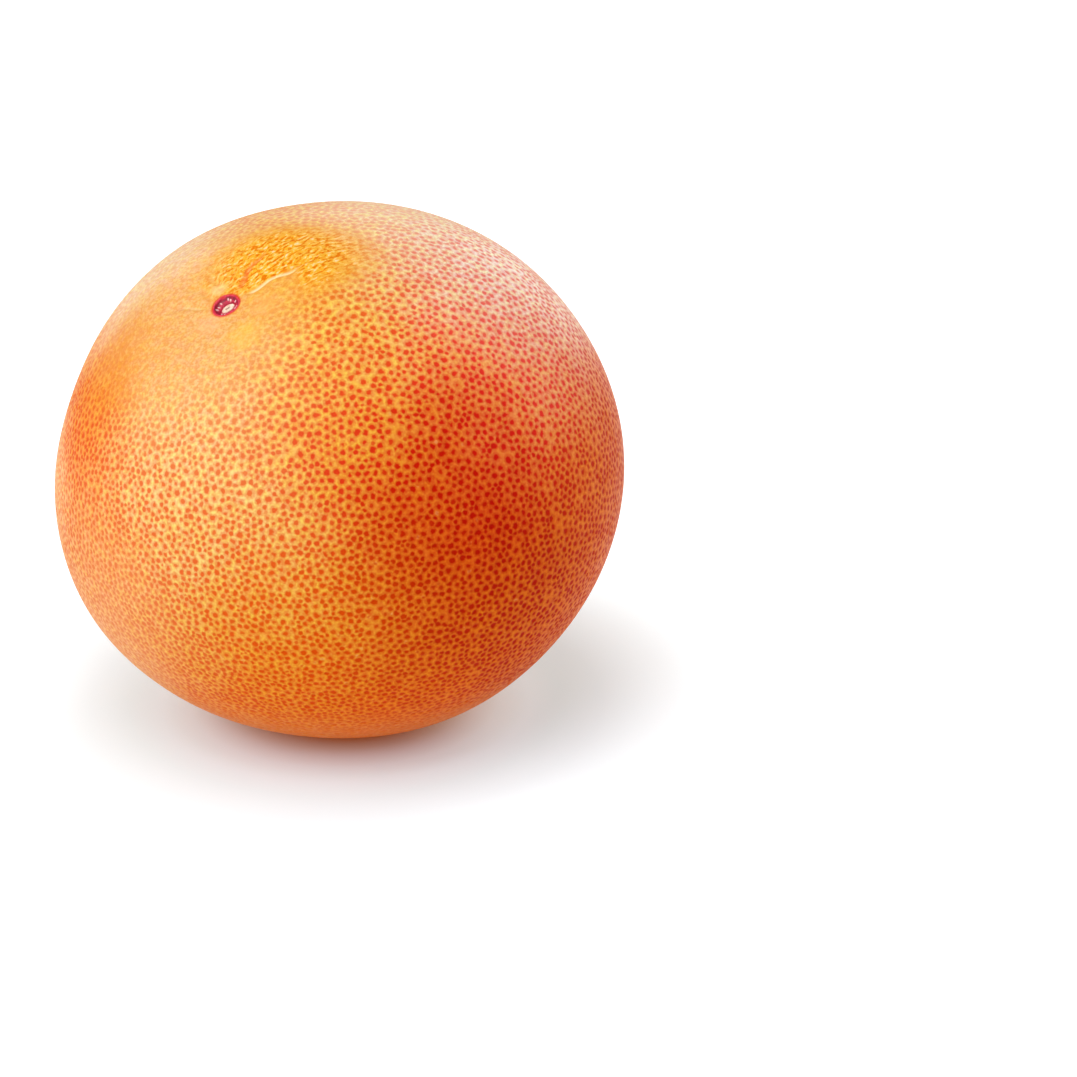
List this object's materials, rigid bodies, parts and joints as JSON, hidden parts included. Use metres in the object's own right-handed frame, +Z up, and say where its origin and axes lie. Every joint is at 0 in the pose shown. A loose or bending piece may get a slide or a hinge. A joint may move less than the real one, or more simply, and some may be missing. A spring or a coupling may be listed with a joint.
{
  "type": "grapefruit",
  "caption": "Whole red grapefruit: a flattened round body with pitted rind, a round stem scar in a shallow creased hollow, a blossom end ring and a small flat spot to rest on.",
  "frame": {"origin": "on the surface that the fruit rests on, under the middle of its outline", "axes": "+Z up; the stem end leans 35 degrees from +Z, towards -X and -Y"},
  "size_m": [0.1072, 0.1058, 0.0974],
  "materials": {
    "peel": "satin, pitted rind, orange with red glands"
  },
  "bodies": {
    "root": {"grapefruit": "peel"}
  },
  "joints": []
}
